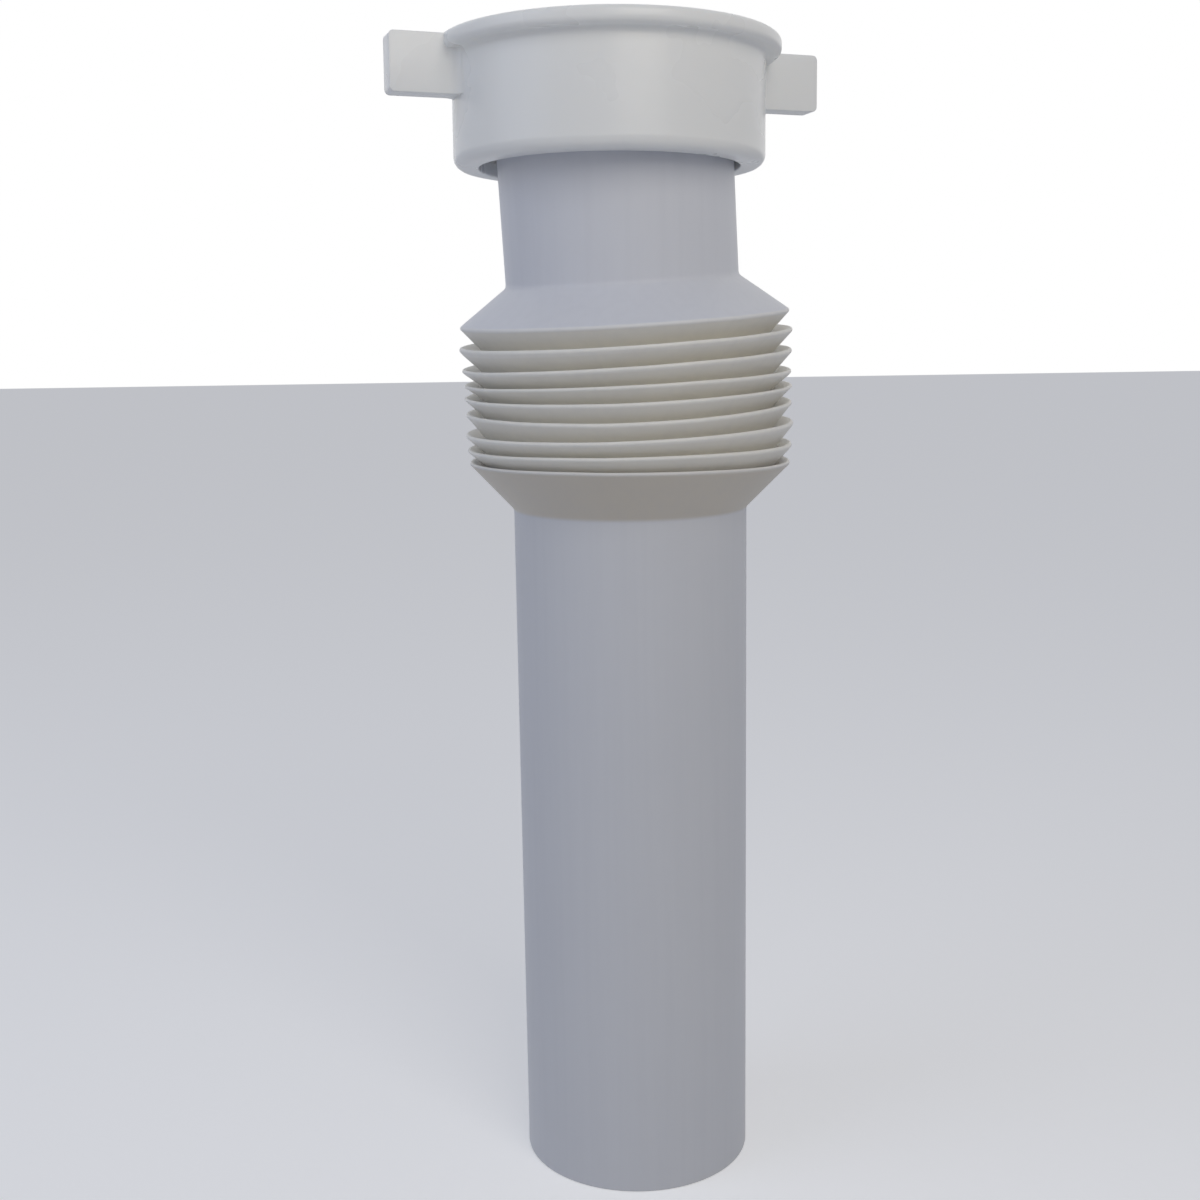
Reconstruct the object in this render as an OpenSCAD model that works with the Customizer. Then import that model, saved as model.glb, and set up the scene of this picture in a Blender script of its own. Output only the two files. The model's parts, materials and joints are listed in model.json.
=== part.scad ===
/* [Spigot] */
// Outside diameter of the plain spigot, a standard waste pipe size
spigot_od = 38.1; // [32:0.1:45]
// Length of the plain spigot, from its square-cut end to the cone of the bellows
spigot_len = 111.8; // [60:0.1:200]
// Wall of the spigot and of the neck
tube_wall = 1.8; // [1.2:0.1:2.4]

/* [Bellows] */
// Number of folds
fold_count = 9; // [4:1:14]
// Rise from the lowest fold to the next one, with the bellows pushed together
fold_pitch_low = 2.6; // [2.2:0.1:4]
// Rise from the last fold but one to the top fold
fold_pitch_high = 3.1; // [2.2:0.1:4]
// Outside diameter over the tips of the folds
fold_od = 52.9; // [50:0.1:58]
// Depth of a fold, between the middles of its wall at the tip and in the valley
fold_depth = 4.8; // [4:0.1:6]
// Slope of the long face under each tip, from the horizontal
fold_slope = 45; // [38:1:50]
// Wall of the folds, which moulding leaves thinner than the pipe
fold_wall = 0.7; // [0.5:0.05:0.9]
// Height of the cone under the lowest fold
low_cone_h = 7.5; // [5:0.1:10]
// Height of the cone above the top fold
high_cone_h = 6; // [4:0.1:9]

/* [Bend] */
// Lean of the neck from the spigot, shared out over the folds
bend_angle = 3.5; // [0:0.1:9]
// Side that the neck leans to, counted from +X
bend_azimuth = 220; // [0:1:359]

/* [Neck and flange] */
// Outside diameter of the neck
neck_od = 37.2; // [34:0.1:39]
// Length of the neck, from the cone to the underside of the flange
neck_len = 22; // [22:0.5:60]
// Thickness of the flange that keeps the nut on the neck
flange_h = 1.8; // [1.2:0.1:3]
// Radial play of the flange, and of the washer on it, in the nut
flange_play = 1.85; // [1.75:0.05:2.4]

/* [Washer] */
// Thickness of the washer that lies on the flange
washer_h = 2; // [1:0.1:3]
// Depth of the collar that centres the washer in the neck
collar_depth = 3; // [1.5:0.1:6]
// Wall of that collar
collar_wall = 1; // [0.6:0.1:1.5]

/* [Slip nut] */
// Diameter of the threaded bore over the thread's roots
thread_d = 46.2; // [45.8:0.1:52]
// Extra radius of the plain relief below the thread, where the flange and the washer lie
relief_depth = 0.35; // [0.2:0.05:0.6]
// Wall of the nut round that relief
nut_wall = 0.9; // [0.8:0.05:2.5]
// Height of the nut
nut_h = 19.1; // [17:0.1:30]
// Thickness of the in-turned lip at the nut's lower end
lip_h = 2.3; // [1.8:0.1:3.5]
// Radius of the rounding round the nut's lower edge
nut_edge_r = 1.65; // [0.5:0.05:1.7]
// Radial play between the neck and the hole in the lip
nut_play = 1.85; // [1.8:0.05:2.2]
// How far the loose nut has gone over to one side, and which side that is
nut_shift = 1.2; // [0:0.1:1.2]
nut_shift_azimuth = 223; // [0:1:359]
// How far the loose nut is tipped from the neck's axis, and to which side
nut_cant = 5.6; // [0:0.1:6]
nut_cant_azimuth = 58; // [0:1:359]
// Height of the rim round the open end
rim_h = 2.5; // [1.6:0.1:4]
// How far the rim stands out from the nut's body
rim_reach = 2.45; // [1.2:0.05:4]

/* [Wings] */
// Reach of a wing past the nut's body
wing_len = 10.7; // [6:0.1:20]
// Height of a wing
wing_h = 8.8; // [5:0.1:12]
// Drop from the nut's top to the top of a wing
wing_drop = 0.4; // [0.4:0.1:4]
// Thickness of a wing
wing_t = 4; // [2.5:0.1:6]
// Radius of the fillets that join a wing to the nut
wing_fillet = 2; // [1:0.1:3]
// Radius of the outer corners of a wing
wing_corner = 0.8; // [0.4:0.1:2]
// Direction of the wings, counted from +X
wing_azimuth = 19; // [0:1:359]

/* [Hidden] */
$fn = 72;

// Gap that keeps the nut's lip off the flange, and the flange and washer off the thread
seat_gap = 0.3;
// Gap round the washer's collar in the neck
collar_gap = 0.2;
// Steps of each small rounding
round_steps = 4;
// Radius of the hollow corner under the nut's rim
rim_corner_r = 0.8;
// Radius of the rim's edges, as a share of its height
rim_softness = 0.36;
// Bevel at the mouth of the thread
mouth_chamfer = 0.5;
// How far a wing reaches into the nut's wall, so that the two are one moulding
wing_bite = 0.6;
// Half the width of the rib of wall at the bottom of each valley
valley_rib = 0.45;
// Rise of the inner corner where the pipe's wall turns into a cone
inner_rise = 0.6;
// Turn of each fold from the one below it, which keeps the seams of their round faces apart
fold_turn = 50;
// How far a cut runs past the face that it opens
cut_past = 1;

spigot_r = spigot_od / 2;
spigot_bore_r = spigot_r - tube_wall;
neck_r = neck_od / 2;
neck_bore_r = neck_r - tube_wall;
half_wall = fold_wall / 2;
tip_r = fold_od / 2 - half_wall;
valley_r = tip_r - fold_depth;
// Drop from a tip to the valley under it
fold_drop = fold_depth * tan(fold_slope);
// Centre of a fold's tip, and of the wall in the valley under it, in the fold's own frame
top_tip = [tip_r, 0];
valley = [valley_r, -fold_drop];

// Height of the lowest tip above the spigot's end
first_tip_z = spigot_len + low_cone_h;
// Valley above the lowest fold
first_valley = [valley_r, first_tip_z + fold_pitch(1) - fold_drop];
function fold_pitch(j) = fold_pitch_low + (fold_pitch_high - fold_pitch_low) * (j - 1) / (fold_count - 2);
function fold_lean(j) = bend_angle * (j - 1) / (fold_count - 1);
// Place of a tip's centre in the plane of the bend, climbing fold by fold
function fold_place(j) =
    j == 1 ? [0, first_tip_z]
    : fold_place(j - 1) + fold_pitch(j - 1) * [sin(fold_lean(j)), cos(fold_lean(j))];

// Along the neck, counted from the centre of the top tip
flange_s = high_cone_h + neck_len;
washer_s = flange_s + flange_h;

thread_r = thread_d / 2;
relief_r = thread_r + relief_depth;
flange_r = relief_r - flange_play;
nut_r = relief_r + nut_wall;
lip_hole_r = neck_r + nut_play;
// The nut is tipped, so the flange and the washer need room for their tilt in it
tilt_rise = flange_r * sin(nut_cant);
lip_seat = tilt_rise + seat_gap;
relief_top = lip_h + lip_seat + flange_h + washer_h + tilt_rise + seat_gap;

rim_r = nut_r + rim_reach;
rim_z = nut_h - rim_h;
rim_edge_r = rim_h * rim_softness;
wing_top = nut_h - wing_drop;
wing_reach = nut_r + wing_len;

// Points of an arc about c from angle a1 to angle a2
function arc(c, r, a1, a2) =
    [for (i = [0:round_steps]) let (a = a1 + (a2 - a1) * i / round_steps) c + r * [cos(a), sin(a)]];
// Unit vector at an angle
function along(a) = [cos(a), sin(a)];
// Angle of the line from p to q
function slope(p, q) = atan2(q[1] - p[1], q[0] - p[0]);
// Rounded outer tip between a face that rises to c at angle a and one that comes down from above at angle b
function tip_arc(c, a, b) = arc(c, half_wall, a - 90, b + 90);
// Sharp inner corner behind that tip
function inner_corner(c, a, b) = c - half_wall / sin((a - b) / 2) * along((a + b) / 2);

// Leans a piece to one side, without turning it about its own axis
module leaned(angle, azimuth) {
    rotate([0, 0, azimuth])
        rotate([0, angle, 0])
            rotate([0, 0, -azimuth])
                children();
}

// Puts a piece on the leaning axis of a fold, with its origin at the centre of the fold's tip
module at_fold(j) {
    place = fold_place(j);
    translate([place[0] * cos(bend_azimuth), place[0] * sin(bend_azimuth), place[1]])
        leaned(fold_lean(j), bend_azimuth)
            children();
}

// Puts a piece at the underside of the nut, which is loose on the neck, gone over and tipped
module at_nut() {
    at_fold(fold_count)
        translate([nut_shift * cos(nut_shift_azimuth), nut_shift * sin(nut_shift_azimuth), flange_s - lip_seat])
            leaned(nut_cant, nut_cant_azimuth)
                translate([0, 0, -lip_h])
                    children();
}

// Solid of revolution from an outline that runs from the axis, out and back to it
module turned(outline) {
    first = outline[0];
    last = outline[len(outline) - 1];
    rotate_extrude()
        polygon(concat([[0, first[1]]], outline, [[0, last[1]]]));
}

// Outer form of the spigot, the cone above it and the lowest fold
module spigot_outside() {
    tip = [tip_r, first_tip_z];
    a = slope([spigot_r, spigot_len], tip);
    b = slope(first_valley, tip);
    turned(concat(
        [[spigot_r, 0], [spigot_r, spigot_len]],
        tip_arc(tip, a, b),
        [first_valley + half_wall * along(b + 90)]
    ));
}

// Waterway through them
module spigot_inside() {
    tip = [tip_r, first_tip_z];
    a = slope([spigot_r, spigot_len], tip);
    b = slope(first_valley, tip);
    turned([
        [spigot_bore_r, -cut_past],
        [spigot_bore_r, spigot_len + inner_rise],
        inner_corner(tip, a, b),
        first_valley - half_wall * along(b + 90),
    ]);
}

// Outer form of one fold, about the centre of its tip, from its own valley to the next
module fold_outside(next_valley) {
    a = slope(valley, top_tip);
    b = slope(next_valley, top_tip);
    turned(concat(
        [valley + half_wall * along(a - 90)],
        tip_arc(top_tip, a, b),
        [next_valley + half_wall * along(b + 90)]
    ));
}

// Hollow of that fold
module fold_inside(next_valley) {
    a = slope(valley, top_tip);
    b = slope(next_valley, top_tip);
    turned([
        valley - half_wall * along(a - 90),
        inner_corner(top_tip, a, b),
        next_valley - half_wall * along(b + 90),
    ]);
}

// Way through the ring of wall at the bottom of a valley
module valley_bore() {
    translate([0, 0, -fold_drop])
        cylinder(r = valley_r - valley_rib, h = 4 * valley_rib, center = true);
}

// Outer form of the top fold, the cone above it, the neck and the flange
module neck_outside() {
    neck_foot = [neck_r, high_cone_h];
    a = slope(valley, top_tip);
    b = slope(neck_foot, top_tip);
    turned(concat(
        [valley + half_wall * along(a - 90)],
        tip_arc(top_tip, a, b),
        [neck_foot, [neck_r, flange_s], [flange_r, flange_s], [flange_r, washer_s]]
    ));
}

// Waterway through them
module neck_inside() {
    a = slope(valley, top_tip);
    b = slope([neck_r, high_cone_h], top_tip);
    turned([
        valley - half_wall * along(a - 90),
        inner_corner(top_tip, a, b),
        [neck_bore_r, high_cone_h - inner_rise],
        [neck_bore_r, washer_s + cut_past],
    ]);
}

module flexible_tube() {
    color([0.84, 0.84, 0.85])
        difference() {
            union() {
                spigot_outside();
                for (j = [2:fold_count - 1])
                    at_fold(j) rotate([0, 0, fold_turn * j]) fold_outside(valley + [0, fold_pitch(j)]);
                at_fold(fold_count) rotate([0, 0, fold_turn * fold_count]) neck_outside();
            }
            union() {
                spigot_inside();
                for (j = [2:fold_count])
                    at_fold(j) rotate([0, 0, fold_turn * j]) valley_bore();
                for (j = [2:fold_count - 1])
                    at_fold(j) rotate([0, 0, fold_turn * j]) fold_inside(valley + [0, fold_pitch(j)]);
                at_fold(fold_count) rotate([0, 0, fold_turn * fold_count]) neck_inside();
            }
        }
}

// Flat washer on the flange, with a collar that hangs in the neck
module sealing_washer() {
    collar_r = neck_bore_r - collar_gap;
    hole_r = collar_r - collar_wall;
    color([0.93, 0.92, 0.88])
        at_fold(fold_count)
            translate([0, 0, washer_s])
                rotate_extrude()
                    polygon([
                        [hole_r, -collar_depth],
                        [collar_r, -collar_depth],
                        [collar_r, 0],
                        [flange_r, 0],
                        [flange_r, washer_h],
                        [hole_r, washer_h],
                    ]);
}

// Body, lip and rim of the nut, open end up
module nut_shell() {
    rotate_extrude()
        polygon(concat(
            [[lip_hole_r, 0]],
            arc([nut_r - nut_edge_r, nut_edge_r], nut_edge_r, -90, 0),
            arc([nut_r + rim_corner_r, rim_z - rim_corner_r], rim_corner_r, 180, 90),
            arc([rim_r - rim_edge_r, rim_z + rim_edge_r], rim_edge_r, -90, 0),
            arc([rim_r - rim_edge_r, nut_h - rim_edge_r], rim_edge_r, 0, 90),
            [
                [thread_r + mouth_chamfer, nut_h],
                [thread_r, nut_h - mouth_chamfer],
                [thread_r, relief_top],
                [relief_r, relief_top],
                [relief_r, lip_h],
                [lip_hole_r, lip_h],
            ]
        ));
}

// Wing seen from above: a straight tab with a fillet on each side of its root
module wing_plan() {
    half_t = wing_t / 2;
    root_y = half_t + wing_fillet;
    root_x = sqrt(nut_r * nut_r - root_y * root_y);
    fillet_x = root_x + wing_fillet;
    polygon(concat(
        [[nut_r - wing_bite, -root_y]],
        arc([fillet_x, -root_y], wing_fillet, 180, 90),
        [[wing_reach + wing_corner, -half_t], [wing_reach + wing_corner, half_t]],
        arc([fillet_x, root_y], wing_fillet, -90, -180),
        [[nut_r - wing_bite, root_y]]
    ));
}

// Wing seen from the side: its height, with rounded outer corners
module wing_side() {
    low = wing_top - wing_h;
    polygon(concat(
        [[nut_r - 2 * wing_bite, low]],
        arc([wing_reach - wing_corner, low + wing_corner], wing_corner, -90, 0),
        arc([wing_reach - wing_corner, wing_top - wing_corner], wing_corner, 0, 90),
        [[nut_r - 2 * wing_bite, wing_top]]
    ));
}

module wing() {
    intersection() {
        linear_extrude(height = nut_h) wing_plan();
        rotate([90, 0, 0])
            linear_extrude(height = nut_r, center = true) wing_side();
    }
}

module slip_nut() {
    color([0.96, 0.96, 0.94])
        at_nut() {
            nut_shell();
            for (side = [0, 180])
                rotate([0, 0, wing_azimuth + side]) wing();
        }
}

flexible_tube();
sealing_washer();
slip_nut();
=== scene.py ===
import json
import math

import bmesh
import bpy
from mathutils import Matrix, Vector


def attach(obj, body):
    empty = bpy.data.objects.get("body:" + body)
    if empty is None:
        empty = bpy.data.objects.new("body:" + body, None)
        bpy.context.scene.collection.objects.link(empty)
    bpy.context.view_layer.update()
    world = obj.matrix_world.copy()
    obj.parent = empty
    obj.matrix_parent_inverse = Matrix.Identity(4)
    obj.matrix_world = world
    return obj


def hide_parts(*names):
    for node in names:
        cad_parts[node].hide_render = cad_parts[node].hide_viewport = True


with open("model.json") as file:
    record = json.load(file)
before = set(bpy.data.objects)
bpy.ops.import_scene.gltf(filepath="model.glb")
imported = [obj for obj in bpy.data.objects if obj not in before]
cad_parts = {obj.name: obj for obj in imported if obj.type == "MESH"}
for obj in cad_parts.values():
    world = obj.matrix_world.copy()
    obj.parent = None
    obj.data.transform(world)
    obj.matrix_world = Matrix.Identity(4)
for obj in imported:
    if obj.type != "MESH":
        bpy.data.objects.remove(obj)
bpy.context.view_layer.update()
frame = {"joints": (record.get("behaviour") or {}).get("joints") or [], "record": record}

MM = 0.001
mounts = {mount["name"]: mount for mount in frame["record"]["mounts"]}
nut_joint = next(joint for joint in frame["joints"] if joint["name"] == "nut_spin")

# Camera
CAMERA_PLACE = Vector((-5.19, -261.06, 143.92)) * MM
CAMERA_LENS = 47.9
CAMERA_DROP = math.radians(10.377)
CAMERA_ROLL = math.radians(-0.862)

# Spigot, with its wall and edges
SPIGOT_R = mounts["spigot"]["dims"]["r_mm"] * MM
SPIGOT_LEN = mounts["spigot"]["dims"]["length_mm"] * MM
BORE_R = mounts["waterway"]["dims"]["r_mm"] * MM
PIPE_WALL = SPIGOT_R - BORE_R
CUT_EDGE = 0.3 * MM

# Bellows, lowest fold first
FOLDS = 9
PITCH_LOW = 2.6 * MM
PITCH_HIGH = 3.1 * MM
FOLD_WALL = 0.7 * MM
TIP_R = 26.1 * MM
FOLD_DEPTH = 4.8 * MM
FOLD_DROP = 4.8 * MM
LOW_CONE_H = 7.5 * MM
HIGH_CONE_H = 6.0 * MM
CONE_FOOT_EDGE = 0.9 * MM
CREASE_EDGE = 0.12 * MM
INNER_RISE = 0.6 * MM
TIP_OVERSIZE = [size * MM for size in (-0.5, -0.15, 0.1, -0.1, 0.0, -0.1, 0.1, 0.3, -0.1)]
# How much higher than its even place each tip sits, at the right, at the left and in front
RIGHT_RISE = [rise * MM for rise in (-0.43, -0.26, 0.39, 0.79, 0.53, -0.11, 0.06, 0.13, -0.03)]
LEFT_RISE = [rise * MM for rise in (0.0, -0.37, -0.45, 0.35, 0.21, -0.5, -0.9, -0.35, 0.16)]
FRONT_RISE = [rise * MM for rise in (0.19, 0.05, -0.11, -0.05, 0.18, 0.0, -0.15, -0.03, 0.13)]
MOST_RISE = 1.0 * MM
RIPPLE_RISE = 0.12 * MM
RIPPLE_SCALE = 55.0
# Part of each end of the bellows that has no ripple, and how softly it starts
RIPPLE_MARGIN = 3 * MM
RIPPLE_SOFTNESS = 2 * MM

# Neck and flange, along the neck from the top tip
NECK_AXIS = Vector(mounts["washer_seat"]["axis"]).normalized()
BEND = math.acos(NECK_AXIS.z)
BEND_SIDE = math.atan2(NECK_AXIS.y, NECK_AXIS.x)
NECK_R = 18.6 * MM
NECK_BORE_R = NECK_R - PIPE_WALL
NECK_LEN = 22.0 * MM
FLANGE_H = 1.8 * MM
FLANGE_LOW = HIGH_CONE_H + NECK_LEN
FLANGE_TOP = FLANGE_LOW + FLANGE_H
FLANGE_R = 21.6 * MM
FLANGE_EDGE = 0.25 * MM
WASHER_H = 2.0 * MM
WASHER_EDGE = 0.2 * MM
COLLAR_DEPTH = 3.0 * MM
COLLAR_GAP = 0.2 * MM
COLLAR_WALL = 1.0 * MM
COLLAR_R = NECK_BORE_R - COLLAR_GAP
WASHER_HOLE_R = COLLAR_R - COLLAR_WALL

# Slip nut, from its underside
NUT_FOOT = Vector(nut_joint["pos_m"])
NUT_AXIS = Vector(nut_joint["axis"]).normalized()
THREAD_R = mounts["nut_thread"]["dims"]["r_mm"] * MM
THREAD_MID = (Vector(mounts["nut_thread"]["pos_m"]) - NUT_FOOT).dot(NUT_AXIS)
THREAD_SPAN = mounts["nut_thread"]["dims"]["length_mm"] * MM
RELIEF_DEPTH = 0.35 * MM
RELIEF_R = THREAD_R + RELIEF_DEPTH
RELIEF_TOP = THREAD_MID - THREAD_SPAN / 2
NUT_WALL = 0.9 * MM
NUT_R = RELIEF_R + NUT_WALL
NUT_H = 19.1 * MM
NUT_LOW_EDGE = 1.65 * MM
NUT_EDGE = 0.25 * MM
STEP_EDGE = 0.1 * MM
LIP_H = 2.3 * MM
NUT_PLAY = 1.85 * MM
LIP_HOLE_R = NECK_R + NUT_PLAY
RIM_REACH = 2.45 * MM
RIM_H = 2.5 * MM
RIM_R = NUT_R + RIM_REACH
RIM_LOW = NUT_H - RIM_H
RIM_EDGE = 0.9 * MM
RIM_CORNER = 0.8 * MM
MOUTH_BEVEL = 0.5 * MM
THREAD_PITCH = 2.2 * MM
THREAD_DEPTH = 1.05 * MM
THREAD_TURNS = 2.75
# Rise from the relief to the first turn, and how far a ridge is sunk into the wall
THREAD_LEAD = 0.9 * MM
RIDGE_FOOT = 0.15 * MM
# Half widths of a ridge at its foot and at its crest, as shares of the pitch
FOOT_SHARE = 0.36
CREST_SHARE = 0.12

# Wings of the nut
WING_SIDE = math.radians(19)
WING_LEN = 10.7 * MM
WING_DROP = 0.4 * MM
WING_H = 8.8 * MM
WING_REACH = NUT_R + WING_LEN
WING_TOP = NUT_H - WING_DROP
WING_LOW = WING_TOP - WING_H
WING_HALF = 2.0 * MM
WING_FILLET = 2.0 * MM
WING_BITE = 0.6 * MM
WING_CORNER = 0.8 * MM
WING_EDGE = 0.35 * MM

# Turning of the round pieces
HUB = 1.0 * MM
TURN_SEGMENTS = 216
ARC_STEP = math.radians(24)

# Floor and light
FLOOR_SIZE = 6.0
FLOOR_GLOW = 0.3
SKY_STRENGTH = 0.34
KEY_PLACE = (0.12, -0.3, 0.34)
KEY_POWER = 0.36
FILL_PLACE = (-0.45, -0.2, 0.4)
FILL_POWER = 0.45


class Socket:
    """A socket of a node tree that plain arithmetic can be written on."""

    def __init__(self, tree, socket):
        self.tree = tree
        self.socket = socket

    def maths(self, operation, *values, clamp=False):
        settings = {"operation": operation, "use_clamp": clamp}
        return self.tree.node("ShaderNodeMath", settings, dict(enumerate(values)))

    def __add__(self, other):
        return self.maths("ADD", self, other)

    def __radd__(self, other):
        return self.maths("ADD", other, self)

    def __sub__(self, other):
        return self.maths("SUBTRACT", self, other)

    def __rsub__(self, other):
        return self.maths("SUBTRACT", other, self)

    def __mul__(self, other):
        return self.maths("MULTIPLY", self, other)

    def __rmul__(self, other):
        return self.maths("MULTIPLY", other, self)

    def __truediv__(self, other):
        return self.maths("DIVIDE", self, other)

    def __rtruediv__(self, other):
        return self.maths("DIVIDE", other, self)

    def at_least(self, other):
        return self.maths("MAXIMUM", self, other)

    def at_most(self, other):
        return self.maths("MINIMUM", self, other)

    def within_one(self):
        return self.maths("ADD", self, 0.0, clamp=True)

    def past(self, edge, softness):
        """0 below an edge and 1 above it, with a soft step between."""
        ends = {1: edge - softness, 2: edge + softness}
        settings = {"interpolation_type": "SMOOTHSTEP"}
        return self.tree.node("ShaderNodeMapRange", settings, {0: self, **ends})

    def between(self, low, high, softness):
        return self.past(low, softness) * (1 - self.past(high, softness))


class Tree:
    """A node tree that adds each of its nodes through one method."""

    def __init__(self, tree):
        self.tree = tree

    def feed(self, socket, value):
        if isinstance(value, Socket):
            self.tree.links.new(value.socket, socket)
        else:
            socket.default_value = value

    def node(self, kind, settings=None, inputs=None, output=0):
        """Adds a node: its settings first, then the values or links of its sockets."""
        node = self.tree.nodes.new(kind)
        for name, value in (settings or {}).items():
            if name == "curve":
                self.bend_curve(node.mapping, value)
            else:
                setattr(node, name, value)
        for key, value in (inputs or {}).items():
            self.feed(node.inputs[key], value)
        return Socket(self, node.outputs[output])

    def bend_curve(self, mapping, points):
        curve = mapping.curves[0]
        curve.points[0].location = points[0]
        curve.points[1].location = points[-1]
        for point in points[1:-1]:
            curve.points.new(*point)
        mapping.update()

    def parts(self, vector):
        """The three numbers of a vector."""
        return [self.node("ShaderNodeSeparateXYZ", None, {0: vector}, axis) for axis in range(3)]

    def vector(self, x, y, z):
        return self.node("ShaderNodeCombineXYZ", None, {0: x, 1: y, 2: z})

    def vector_maths(self, operation, *values, output=0):
        settings = {"operation": operation}
        return self.node("ShaderNodeVectorMath", settings, dict(enumerate(values)), output)

    def mix(self, factor, first, second):
        """Blend of two colours."""
        inputs = {0: factor, 6: first, 7: second}
        return self.node("ShaderNodeMix", {"data_type": "RGBA"}, inputs, 2)

    def noise(self, place, scale, detail=2.0, roughness=0.5, output=0):
        inputs = {"Vector": place, "Scale": scale, "Detail": detail, "Roughness": roughness}
        return self.node("ShaderNodeTexNoise", None, inputs, output)


# Outlines


def neighbours(items):
    """Each item of a closed ring with the one before it and the one after it."""
    count = len(items)
    return [(items[i - 1], items[i], items[(i + 1) % count]) for i in range(count)]


def corner_arc(before, here, after, radius):
    """Points of the arc that rounds a corner, with a point on each leg to hold the flats flat."""
    to_before = before - here
    to_after = after - here
    half = to_before.angle(to_after) / 2
    reach = min(radius / math.tan(half), 0.45 * to_before.length, 0.45 * to_after.length)
    radius = reach * math.tan(half)
    hold = min(1.35 * reach + 0.05 * MM, 0.48 * to_before.length, 0.48 * to_after.length)
    in_line = to_before.normalized()
    out_line = to_after.normalized()
    centre = here + (in_line + out_line).normalized() * (radius / math.sin(half))
    start = here + in_line * reach - centre
    sweep = start.angle_signed(here + out_line * reach - centre)
    steps = max(2, round(abs(sweep) / ARC_STEP))
    arc = [centre + Matrix.Rotation(-sweep * i / steps, 2) @ start for i in range(steps + 1)]
    return [here + in_line * hold, *arc, here + out_line * hold]


def rounded(corners):
    """Closed outline through corners, each a radius, a height and the rounding of its edge."""
    points = []
    for before, here, after in neighbours(corners):
        places = [Vector(corner[:2]) for corner in (before, here, after)]
        points += corner_arc(*places, here[2])
    return points


def outline_mesh(name, points):
    """Closed outline as a ring of edges, with the radius along X and the height down Y."""
    mesh = bpy.data.meshes.new(name)
    count = len(points)
    places = [(point.x, -point.y, 0) for point in points]
    mesh.from_pydata(places, [(i, (i + 1) % count) for i in range(count)], [])
    return mesh


def wall_corner(before, here, after, offset):
    """Corner of a face that runs beside the middle of a bent wall, offset to its outside."""
    normals = []
    for line in (here - before, after - here):
        normals.append(Vector((line.y, -line.x)).normalized())
    shared = normals[0] + normals[1]
    return here + shared * (offset / (1 + normals[0].dot(normals[1])))


def fold_pitch(j):
    return PITCH_LOW + (PITCH_HIGH - PITCH_LOW) * j / (FOLDS - 2)


def tip_heights():
    """Heights of the tips before the bellows is bent, lowest first."""
    heights = [SPIGOT_LEN + LOW_CONE_H]
    for j in range(FOLDS - 1):
        heights.append(heights[-1] + fold_pitch(j))
    return heights


def top_tip_place():
    """Centre of the top fold once the bellows is bent, as a reach to the side and a height."""
    reach = 0.0
    height = SPIGOT_LEN + LOW_CONE_H
    for j in range(FOLDS - 1):
        lean = BEND * (j + 1) / (FOLDS - 1)
        reach += fold_pitch(j) * math.sin(lean)
        height += fold_pitch(j) * math.cos(lean)
    return reach, height


def fold_middles():
    """Middle of the folded wall, from the foot of the low cone to the foot of the neck."""
    half = FOLD_WALL / 2
    tips = tip_heights()
    middles = [Vector((SPIGOT_R - half, SPIGOT_LEN + half))]
    for j, height in enumerate(tips):
        if j > 0:
            middles.append(Vector((TIP_R - FOLD_DEPTH, height - FOLD_DROP)))
        middles.append(Vector((TIP_R + TIP_OVERSIZE[j], height)))
    middles.append(Vector((NECK_R - half, tips[-1] + HIGH_CONE_H - half)))
    return middles


def folded_face(offset):
    """Corners of the folded wall's outer or inner face, from the lowest tip to the top one."""
    middles = fold_middles()
    corners = []
    for i in range(1, len(middles) - 1):
        at_tip = i % 2 == 1
        outer_turn = at_tip == (offset > 0)
        edge = abs(offset) if outer_turn else CREASE_EDGE
        place = wall_corner(*middles[i - 1 : i + 2], offset)
        corners.append((*place, edge))
    return corners


def tube_outline():
    """Half section of the tube before its bellows is bent."""
    half = FOLD_WALL / 2
    top = tip_heights()[-1]
    return rounded([
        (BORE_R, 0.0, CUT_EDGE),
        (SPIGOT_R, 0.0, CUT_EDGE),
        (SPIGOT_R, SPIGOT_LEN, CONE_FOOT_EDGE),
        *folded_face(half),
        (NECK_R, top + HIGH_CONE_H, CONE_FOOT_EDGE),
        (NECK_R, top + FLANGE_LOW, FLANGE_EDGE),
        (FLANGE_R, top + FLANGE_LOW, FLANGE_EDGE),
        (FLANGE_R, top + FLANGE_TOP, FLANGE_EDGE),
        (NECK_BORE_R, top + FLANGE_TOP, FLANGE_EDGE),
        (NECK_BORE_R, top + HIGH_CONE_H - INNER_RISE, CONE_FOOT_EDGE),
        *reversed(folded_face(-half)),
        (BORE_R, SPIGOT_LEN + INNER_RISE, CONE_FOOT_EDGE),
    ])


def washer_outline():
    return rounded([
        (WASHER_HOLE_R, -COLLAR_DEPTH, WASHER_EDGE),
        (COLLAR_R, -COLLAR_DEPTH, WASHER_EDGE),
        (COLLAR_R, 0.0, WASHER_EDGE),
        (FLANGE_R, 0.0, WASHER_EDGE),
        (FLANGE_R, WASHER_H, WASHER_EDGE),
        (WASHER_HOLE_R, WASHER_H, WASHER_EDGE),
    ])


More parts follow.
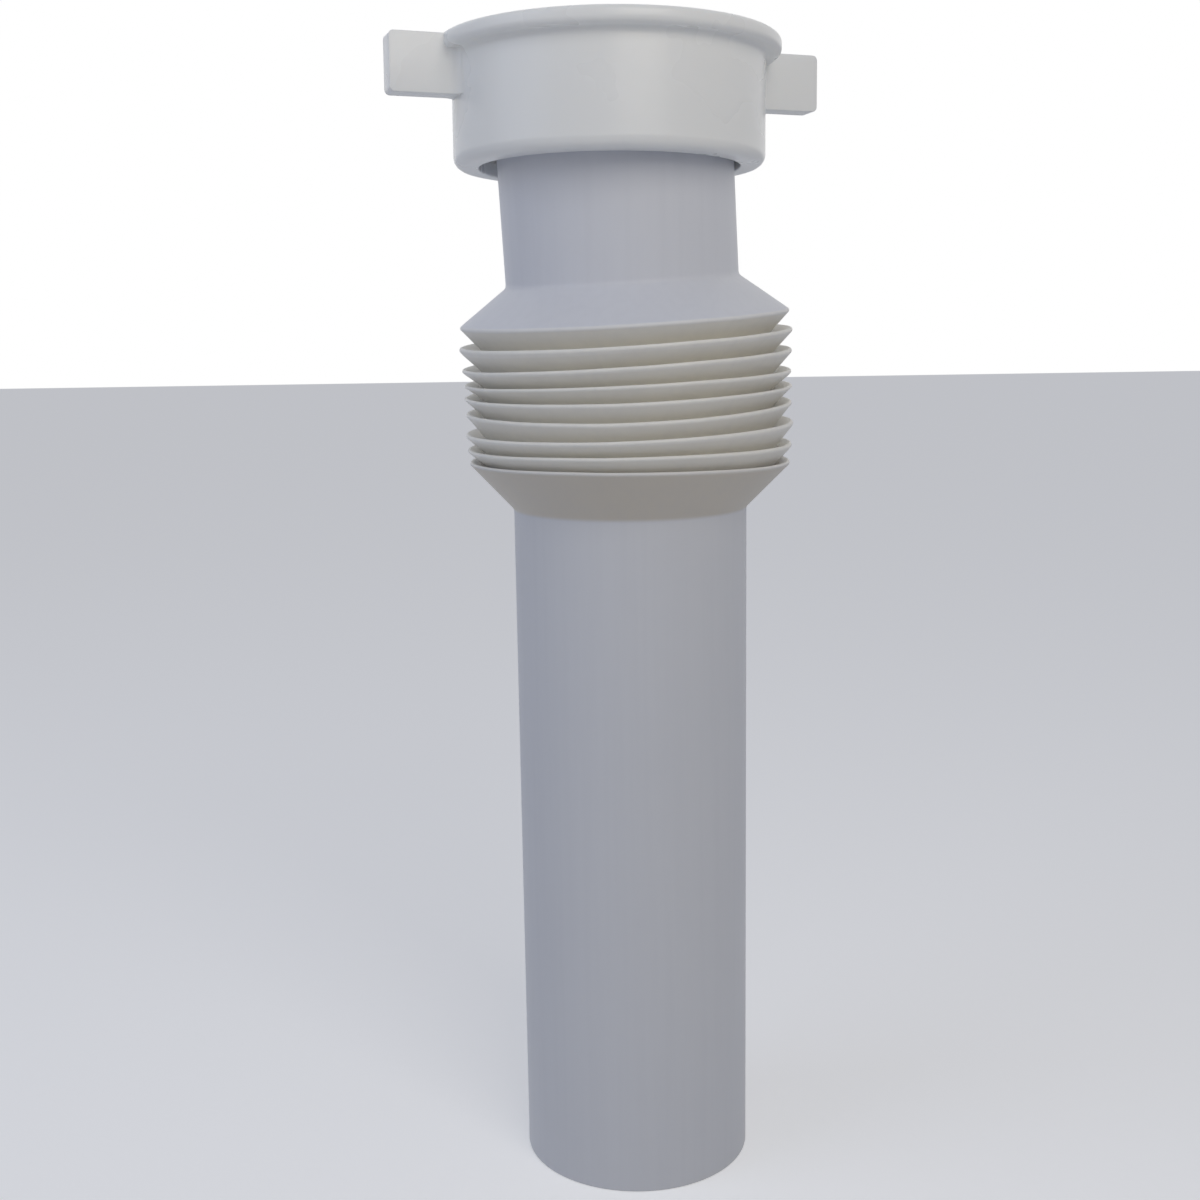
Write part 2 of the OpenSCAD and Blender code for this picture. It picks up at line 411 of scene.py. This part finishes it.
def nut_outline():
    return rounded([
        (LIP_HOLE_R, 0.0, NUT_EDGE),
        (NUT_R, 0.0, NUT_LOW_EDGE),
        (NUT_R, RIM_LOW, RIM_CORNER),
        (RIM_R, RIM_LOW, RIM_EDGE),
        (RIM_R, NUT_H, RIM_EDGE),
        (THREAD_R + MOUTH_BEVEL, NUT_H, NUT_EDGE),
        (THREAD_R, NUT_H - MOUTH_BEVEL, NUT_EDGE),
        (THREAD_R, RELIEF_TOP, STEP_EDGE),
        (RELIEF_R, RELIEF_TOP, STEP_EDGE),
        (RELIEF_R, LIP_H, NUT_EDGE),
        (LIP_HOLE_R, LIP_H, NUT_EDGE),
    ])


# Node trees that make the pieces


def making_tree(name, sizes):
    """Geometry node tree with one named input for each size, and its inputs as sockets."""
    group = bpy.data.node_groups.new(name, "GeometryNodeTree")
    group.interface.new_socket(name="Geometry", in_out="INPUT", socket_type="NodeSocketGeometry")
    group.interface.new_socket(name="Geometry", in_out="OUTPUT", socket_type="NodeSocketGeometry")
    kinds = {int: "NodeSocketInt", float: "NodeSocketFloat", bpy.types.Material: "NodeSocketMaterial"}
    for label, value in sizes.items():
        group.interface.new_socket(name=label, in_out="INPUT", socket_type=kinds[type(value)])
    tree = Tree(group)
    entry = group.nodes.new("NodeGroupInput")
    return tree, {socket.name: Socket(tree, socket) for socket in entry.outputs if socket.name}


def close_tree(tree, geometry, material):
    """Ends a tree: instances made real, smooth faces and the material."""
    real = tree.node("GeometryNodeRealizeInstances", None, {0: geometry})
    smooth = tree.node("GeometryNodeSetShadeSmooth", None, {0: real})
    finished = tree.node("GeometryNodeSetMaterial", None, {"Geometry": smooth, "Material": material})
    leaving = tree.tree.nodes.new("NodeGroupOutput")
    tree.feed(leaving.inputs[0], finished)


def turn_outline(tree, entry):
    """Turns an outline once round the Z axis."""
    shift = tree.vector(-1 * entry["Hub"], 0.0, 0.0)
    moved = tree.node("GeometryNodeTransform", None, {"Geometry": entry["Geometry"], "Translation": shift})
    profile = tree.node("GeometryNodeMeshToCurve", None, {0: moved})
    ring_sizes = {"Resolution": entry["Segments"], "Radius": entry["Hub"]}
    ring = tree.node("GeometryNodeCurvePrimitiveCircle", None, ring_sizes)
    return tree.node("GeometryNodeCurveToMesh", None, {"Curve": ring, "Profile Curve": profile})


def rise_curve(tree, fraction, tip_fractions, rises):
    """Unevenness along the bellows, nothing at its two ends and a given rise at each tip."""
    points = [(0.0, 0.5)]
    points += [(f, 0.5 + rise / (2 * MOST_RISE)) for f, rise in zip(tip_fractions, rises)]
    points.append((1.0, 0.5))
    value = tree.node("ShaderNodeFloatCurve", {"curve": points}, {"Value": fraction})
    return (value - 0.5) * (2 * MOST_RISE)


def uneven_height(tree, entry, place):
    """How much higher than even each point of the bellows sits."""
    x, y, height = tree.parts(place)
    radius = tree.vector_maths("LENGTH", tree.vector(x, y, 0.0), output=1)
    rightward = x / radius
    frontward = (-1 * y / radius).at_least(0.0)
    low = SPIGOT_LEN
    high = tip_heights()[-1] + HIGH_CONE_H
    fraction = ((height - low) / (high - low)).within_one()
    tips = [(tip - low) / (high - low) for tip in tip_heights()]
    right = rise_curve(tree, fraction, tips, RIGHT_RISE)
    left = rise_curve(tree, fraction, tips, LEFT_RISE)
    front = rise_curve(tree, fraction, tips, FRONT_RISE)
    side_mix = left + (right - left) * (0.5 + 0.5 * rightward)
    halfway = (right + left) * 0.5
    ripple = tree.noise(place, entry["Ripple Scale"]) - 0.5
    inside = height.between(low + RIPPLE_MARGIN, high - RIPPLE_MARGIN, RIPPLE_SOFTNESS)
    rippled = ripple * inside * entry["Ripple Rise"] * 2
    return side_mix + (front - halfway) * frontward * frontward + rippled


def bend_bellows(tree, entry, place):
    """Place of each point once the folds lean one after the other and carry the neck with them."""
    x, y, height = tree.parts(place)
    reach, top = top_tip_place()
    low = SPIGOT_LEN + LOW_CONE_H
    high = tip_heights()[-1]
    share = ((height - low) / (high - low)).within_one()
    beyond = (height - high).at_least(0.0)
    axis = (-math.sin(BEND_SIDE), math.cos(BEND_SIDE), 0.0)
    leaning = {"Vector": tree.vector(x, y, beyond), "Axis": axis, "Angle": share * entry["Bend"]}
    leaned = tree.node("ShaderNodeVectorRotate", None, leaning)
    drift = share * share * reach
    sink = share * (high - top)
    side = (math.cos(BEND_SIDE), math.sin(BEND_SIDE))
    carried = tree.vector(drift * side[0], drift * side[1], height - beyond - sink)
    return tree.vector_maths("ADD", leaned, carried)


def bellows_tree(sizes):
    """Turns the tube's outline, makes its folds uneven and bends them."""
    tree, entry = making_tree("bent_bellows", sizes)
    turned = turn_outline(tree, entry)
    keep = {"data_type": "FLOAT_VECTOR", "domain": "POINT"}
    place = tree.node("GeometryNodeInputPosition")
    to_store = {0: turned, "Name": "moulded", "Value": place}
    stored = tree.node("GeometryNodeStoreNamedAttribute", keep, to_store)
    uneven = tree.vector(0.0, 0.0, uneven_height(tree, entry, place))
    lifted = tree.node("GeometryNodeSetPosition", None, {"Geometry": stored, "Offset": uneven})
    bent_place = bend_bellows(tree, entry, tree.node("GeometryNodeInputPosition"))
    bent = tree.node("GeometryNodeSetPosition", None, {"Geometry": lifted, "Position": bent_place})
    close_tree(tree, bent, entry["Material"])
    return tree


def turning_tree(sizes):
    """Turns an outline and does nothing else to it."""
    tree, entry = making_tree("turned_piece", sizes)
    close_tree(tree, turn_outline(tree, entry), entry["Material"])
    return tree


def thread_tree(sizes):
    """Runs the section of a thread ridge up a helix, with both ends tapered off."""
    tree, entry = making_tree("thread_ridge", sizes)
    helix_sizes = {
        "Resolution": entry["Steps"],
        "Rotations": entry["Turns"],
        "Start Radius": entry["Radius"],
        "End Radius": entry["Radius"],
        "Height": entry["Turns"] * entry["Pitch"],
    }
    helix = tree.node("GeometryNodeCurveSpiral", None, helix_sizes)
    upright = tree.node("GeometryNodeSetCurveNormal", {"mode": "Z_UP"}, {"Curve": helix})
    along = tree.node("GeometryNodeSplineParameter")
    run_in = (along / entry["Taper"]).at_most(1.0)
    run_out = ((1 - along) / entry["Taper"]).at_most(1.0)
    profile = tree.node("GeometryNodeMeshToCurve", None, {0: entry["Geometry"]})
    sweep = {"Curve": upright, "Profile Curve": profile, "Fill Caps": True}
    sweep["Scale"] = (run_in * run_out).at_least(0.12)
    ridge = tree.node("GeometryNodeCurveToMesh", None, sweep)
    lift = tree.vector(0.0, 0.0, entry["Start"])
    raised = tree.node("GeometryNodeTransform", None, {"Geometry": ridge, "Translation": lift})
    close_tree(tree, raised, entry["Material"])
    return tree


def face_outwards(mesh):
    """Turns the faces of a closed mesh round if they point inwards."""
    work = bmesh.new()
    work.from_mesh(mesh)
    if work.calc_volume(signed=True) < 0:
        bmesh.ops.reverse_faces(work, faces=work.faces)
    work.to_mesh(mesh)
    work.free()


def piece_from(name, mesh):
    piece = bpy.data.objects.new(name, mesh)
    bpy.context.scene.collection.objects.link(piece)
    return piece


def settle(piece):
    """Makes what a piece's modifiers give its plain mesh, and removes them."""
    graph = bpy.context.evaluated_depsgraph_get()
    made = bpy.data.meshes.new_from_object(piece.evaluated_get(graph))
    piece.modifiers.clear()
    piece.data = made


def grow(name, start, make_tree, sizes, place=Matrix.Identity(4)):
    """Runs a node tree on a starting mesh and keeps the result as a plain piece, put in its place."""
    piece = piece_from(name, start)
    tree = make_tree(sizes)
    making = piece.modifiers.new(name, "NODES")
    making.node_group = tree.tree
    for item in tree.tree.interface.items_tree:
        if item.in_out == "INPUT" and item.name in sizes:
            making[item.identifier] = sizes[item.name]
    settle(piece)
    face_outwards(piece.data)
    piece.data.transform(place)
    return piece


# Materials


def colour(red, green, blue):
    """Linear colour from display values of 0 to 255."""
    shares = [value / 255 for value in (red, green, blue)]
    return (*[s / 12.92 if s <= 0.04045 else ((s + 0.055) / 1.055) ** 2.4 for s in shares], 1.0)


def new_material(name):
    material = bpy.data.materials.new(name)
    material.use_nodes = True
    material.node_tree.nodes.clear()
    tree = Tree(material.node_tree)
    return material, tree


def show(tree, shader, material):
    leaving = tree.tree.nodes.new("ShaderNodeOutputMaterial")
    tree.feed(leaving.inputs["Surface"], shader)
    return material


def object_place(tree):
    return tree.node("ShaderNodeTexCoord", None, None, "Object")


def grain(tree, place, scale, strength, depth):
    """Fine bump of a moulded surface."""
    height = tree.noise(place, scale, 3.0, 0.6)
    return tree.node("ShaderNodeBump", None, {"Strength": strength, "Distance": depth, "Height": height})


def tube_plastic():
    """Satin polypropylene with painted light in its colour: a painted cool sky tint, a lighter upper cone
    and neck, a painted warm glow where the thin folds let light through, painted shade on the low cone and
    painted highlights on the fold tips.
    """
    material, tree = new_material("tube_plastic")
    place = object_place(tree)
    moulded = tree.node("ShaderNodeAttribute", {"attribute_name": "moulded"}, None, "Vector")
    x, y, height = tree.parts(moulded)
    radius = tree.vector_maths("LENGTH", tree.vector(x, y, 0.0), output=1)
    tips = tip_heights()
    lowest = tips[0]
    highest = tips[-1]
    # Painted light: the folds are painted a brighter warm ivory to stand in for the glow of light passing
    # through their thin walls.
    fold_glow = height.between(lowest + 0.2 * MM, highest - 0.2 * MM, 0.3 * MM)
    # Painted shade: the low cone faces down under the folds and is painted a darker warm beige.
    cone_shade = height.between(SPIGOT_LEN, lowest, 0.4 * MM)
    # Painted light: the upper cone and neck are painted lighter than the pipe because light falls from the
    # top, and both colours carry a painted cool tint for cool sky light.
    above = height.past(highest, 0.3 * MM)
    shade = tree.mix(above, colour(219, 221, 226), colour(226, 228, 234))
    shade = tree.mix(fold_glow, shade, colour(243, 240, 231))
    shade = tree.mix(cone_shade, shade, colour(214, 207, 194))
    # Painted highlight: the outermost rim of each fold tip is painted paler, where light catches the thin
    # rounded edge.
    tip_highlight = radius.past(TIP_R + 0.1 * MM, 0.15 * MM)
    shade = tree.mix(tip_highlight * 0.6, shade, colour(250, 248, 242))
    cloud = tree.noise(place, 45.0, 3.0)
    shade = tree.mix(cloud.past(0.5, 0.3) * 0.1, shade, colour(200, 202, 210))
    stretched = tree.node("ShaderNodeMapping", None, {"Vector": place, "Scale": (1.0, 1.0, 0.03)})
    streak = tree.noise(stretched, 700.0, 2.0)
    shade = tree.mix(streak.past(0.55, 0.2) * 0.06, shade, colour(190, 192, 200))
    roughness = 0.4 + 0.1 * cloud
    inputs = {
        "Base Color": shade,
        "Roughness": roughness,
        "Specular IOR Level": 0.35,
        "Subsurface Weight": 0.12,
        "Subsurface Radius": (1.0, 0.9, 0.8),
        "Subsurface Scale": 0.0015,
        "Normal": grain(tree, place, 2600.0, 0.25, 0.00003),
    }
    return show(tree, tree.node("ShaderNodeBsdfPrincipled", None, inputs), material)


def nut_plastic():
    """White glossy polypropylene."""
    material, tree = new_material("nut_plastic")
    place = object_place(tree)
    cloud = tree.noise(place, 60.0, 3.0)
    shade = tree.mix(cloud.past(0.5, 0.3) * 0.25, colour(247, 248, 246), colour(240, 241, 238))
    inputs = {
        "Base Color": shade,
        "Roughness": 0.24 + 0.08 * cloud,
        "Specular IOR Level": 0.5,
        "Subsurface Weight": 0.15,
        "Subsurface Radius": (1.0, 0.9, 0.8),
        "Subsurface Scale": 0.002,
        "Normal": grain(tree, place, 900.0, 0.08, 0.00003),
    }
    return show(tree, tree.node("ShaderNodeBsdfPrincipled", None, inputs), material)


def washer_plastic():
    """Soft milky polyethylene."""
    material, tree = new_material("washer_plastic")
    place = object_place(tree)
    cloud = tree.noise(place, 120.0, 3.0)
    shade = tree.mix(cloud, colour(236, 233, 222), colour(227, 224, 212))
    inputs = {
        "Base Color": shade,
        "Roughness": 0.45 + 0.1 * cloud,
        "Normal": grain(tree, place, 1500.0, 0.15, 0.00003),
    }
    return show(tree, tree.node("ShaderNodeBsdfPrincipled", None, inputs), material)


def floor_paint():
    """Pale floor that reads as white to the eye but keeps the shadow."""
    material, tree = new_material("floor_paint")
    seen = seen_rays(tree)
    diffuse = tree.node("ShaderNodeBsdfDiffuse", None, {"Color": colour(236, 236, 236)})
    glow_inputs = {"Color": (1.0, 1.0, 1.0, 1.0), "Strength": seen * FLOOR_GLOW}
    glow = tree.node("ShaderNodeEmission", None, glow_inputs)
    both = tree.node("ShaderNodeAddShader", None, {0: diffuse, 1: glow})
    return show(tree, both, material)


def seen_rays(tree):
    """1 for what the eye sees, straight or through a reflection."""
    rays = [tree.node("ShaderNodeLightPath", None, None, name) for name in
            ("Is Camera Ray", "Is Glossy Ray", "Is Transmission Ray")]
    return (rays[0] + rays[1] + rays[2]).within_one()


# Pieces


def neck_place(along):
    """Place and lean of a piece on the neck, a given way along it from the top tip."""
    reach, height = top_tip_place()
    top_tip = Vector((reach * math.cos(BEND_SIDE), reach * math.sin(BEND_SIDE), height))
    lean = Vector((0, 0, 1)).rotation_difference(NECK_AXIS).to_matrix().to_4x4()
    return Matrix.Translation(top_tip + NECK_AXIS * along) @ lean


def nut_place():
    lean = Vector((0, 0, 1)).rotation_difference(NUT_AXIS).to_matrix().to_4x4()
    return Matrix.Translation(NUT_FOOT) @ lean


def flexible_tube(material):
    sizes = {
        "Hub": HUB,
        "Segments": TURN_SEGMENTS,
        "Bend": BEND,
        "Ripple Rise": RIPPLE_RISE,
        "Ripple Scale": RIPPLE_SCALE,
        "Material": material,
    }
    return grow("flexible_tube_moulding", outline_mesh("tube_outline", tube_outline()), bellows_tree, sizes)


def sealing_washer(material):
    sizes = {"Hub": HUB, "Segments": TURN_SEGMENTS, "Material": material}
    start = outline_mesh("washer_outline", washer_outline())
    return grow("sealing_washer_ring", start, turning_tree, sizes, neck_place(FLANGE_TOP))


def fillet(centre, start, end):
    """Points of the fillet at a wing's root, from one angle to another in degrees."""
    angles = [math.radians(start + (end - start) * i / 6) for i in range(7)]
    return [(centre[0] + WING_FILLET * math.cos(a), centre[1] + WING_FILLET * math.sin(a)) for a in angles]


def wing_plan():
    """A wing seen from above: a tab with a fillet on each side of its root."""
    root_y = WING_HALF + WING_FILLET
    root_x = math.sqrt(NUT_R ** 2 - root_y ** 2)
    centre_x = root_x + WING_FILLET
    inner = NUT_R - WING_BITE
    return [
        (inner, -root_y),
        *fillet((centre_x, -root_y), 180, 90),
        (WING_REACH, -WING_HALF),
        (WING_REACH, WING_HALF),
        *fillet((centre_x, root_y), -90, -180),
        (inner, root_y),
    ]


def is_wing_end(edge):
    """Whether an edge is one of the two level ones at a wing's outer end."""
    near = 0.001 * MM
    first, second = edge.verts
    at_end = all(abs(vert.co.x - WING_REACH) < near for vert in edge.verts)
    return at_end and abs(first.co.z - second.co.z) < near


def wing(side):
    """One wing, with its edges rounded, in the nut's own place before it is turned."""
    work = bmesh.new()
    foot = [work.verts.new((x, y, WING_LOW)) for x, y in wing_plan()]
    base = work.faces.new(foot)
    raised = bmesh.ops.extrude_face_region(work, geom=[base])["geom"]
    lifted = [item for item in raised if isinstance(item, bmesh.types.BMVert)]
    bmesh.ops.translate(work, verts=lifted, vec=(0, 0, WING_TOP - WING_LOW))
    outer = [edge for edge in work.edges if is_wing_end(edge)]
    bmesh.ops.bevel(work, geom=outer, offset=WING_CORNER, segments=5, profile=0.5, affect="EDGES")
    bmesh.ops.recalc_face_normals(work, faces=work.faces)
    mesh = bpy.data.meshes.new("wing")
    work.to_mesh(mesh)
    work.free()
    tab = piece_from("wing", mesh)
    edge = tab.modifiers.new("edge", "BEVEL")
    edge.width = WING_EDGE
    edge.segments = 3
    edge.limit_method = "ANGLE"
    edge.angle_limit = math.radians(50)
    settle(tab)
    tab.data.transform(Matrix.Rotation(WING_SIDE + side, 4, "Z"))
    return tab


def ridge_section():
    """Section of the thread ridge, its foot sunk a little into the nut's wall."""
    half_foot = FOOT_SHARE * THREAD_PITCH
    half_crest = CREST_SHARE * THREAD_PITCH
    points = [
        Vector((RIDGE_FOOT, -half_foot)),
        Vector((RIDGE_FOOT, half_foot)),
        Vector((-THREAD_DEPTH, half_crest)),
        Vector((-THREAD_DEPTH, -half_crest)),
    ]
    return outline_mesh("ridge_section", points)


def thread_ridge(material):
    sizes = {
        "Steps": 96,
        "Turns": THREAD_TURNS,
        "Radius": THREAD_R,
        "Pitch": THREAD_PITCH,
        "Start": RELIEF_TOP + THREAD_LEAD,
        "Taper": 0.06,
        "Material": material,
    }
    return grow("thread_ridge", ridge_section(), thread_tree, sizes)


def unite(piece, others):
    """Makes one closed solid of a piece and others that reach into it."""
    for other in others:
        joining = piece.modifiers.new("join", "BOOLEAN")
        joining.operation = "UNION"
        joining.solver = "MANIFOLD"
        joining.object = other
    settle(piece)
    for other in others:
        bpy.data.objects.remove(other)


def slip_nut(material):
    sizes = {"Hub": HUB, "Segments": TURN_SEGMENTS, "Material": material}
    shell = grow("slip_nut_moulding", outline_mesh("nut_outline", nut_outline()), turning_tree, sizes)
    unite(shell, [wing(0), wing(math.pi), thread_ridge(material)])
    shell.data.materials.clear()
    shell.data.materials.append(material)
    shell.data.shade_smooth()
    shell.data.set_sharp_from_angle(angle=math.radians(40))
    shell.data.transform(nut_place())
    return shell


# Stage, light and camera


def lay_floor():
    bpy.ops.mesh.primitive_plane_add(size=FLOOR_SIZE)
    floor = bpy.context.object
    floor.name = "floor"
    floor.data.materials.append(floor_paint())


def soft_lamp(name, place, target, size, power, tint):
    """A square soft box that looks at a point."""
    lamp = bpy.data.lights.new(name, "AREA")
    lamp.size = size
    lamp.energy = power
    lamp.color = tint[:3]
    holder = bpy.data.objects.new(name, lamp)
    holder.location = place
    holder.rotation_euler = (Vector(target) - Vector(place)).to_track_quat("-Z", "Y").to_euler()
    bpy.context.scene.collection.objects.link(holder)


def light_room():
    """White surroundings to the eye, with a cool light from above and a warm one from below."""
    world = bpy.data.worlds.new("studio")
    bpy.context.scene.world = world
    world.use_nodes = True
    world.node_tree.nodes.clear()
    tree = Tree(world.node_tree)
    direction = tree.node("ShaderNodeTexCoord", None, None, "Generated")
    x, y, z = tree.parts(direction)
    light = tree.mix(0.5 + 0.5 * z, colour(255, 236, 205), colour(222, 232, 255))
    seen = seen_rays(tree)
    lit = tree.mix(seen, light, (1.0, 1.0, 1.0, 1.0))
    strength = SKY_STRENGTH + seen * (1 - SKY_STRENGTH)
    sky = tree.node("ShaderNodeBackground", None, {"Color": lit, "Strength": strength})
    leaving = tree.tree.nodes.new("ShaderNodeOutputWorld")
    tree.feed(leaving.inputs["Surface"], sky)


def set_camera():
    camera = bpy.data.cameras.new("camera")
    camera.lens = CAMERA_LENS
    camera.sensor_width = 36.0
    camera.clip_start = 0.01
    holder = bpy.data.objects.new("camera", camera)
    tilt = Matrix.Rotation(math.pi / 2 - CAMERA_DROP, 4, "X")
    roll = Matrix.Rotation(CAMERA_ROLL, 4, "Z")
    holder.matrix_world = Matrix.Translation(CAMERA_PLACE) @ tilt @ roll
    bpy.context.scene.collection.objects.link(holder)
    bpy.context.scene.camera = holder


def main():
    set_camera()
    tube = flexible_tube(tube_plastic())
    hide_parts("flexible_tube")
    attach(tube, "tube")
    washer = sealing_washer(washer_plastic())
    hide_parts("sealing_washer")
    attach(washer, "tube")
    nut = slip_nut(nut_plastic())
    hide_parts("slip_nut")
    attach(nut, "nut")
    lay_floor()
    light_room()
    soft_lamp("key", KEY_PLACE, (0, 0, 0.12), 0.22, KEY_POWER, colour(255, 250, 240))
    soft_lamp("sky_fill", FILL_PLACE, (0, 0, 0.1), 0.4, FILL_POWER, colour(214, 228, 255))
    bpy.context.scene.view_settings.view_transform = "Standard"


main()
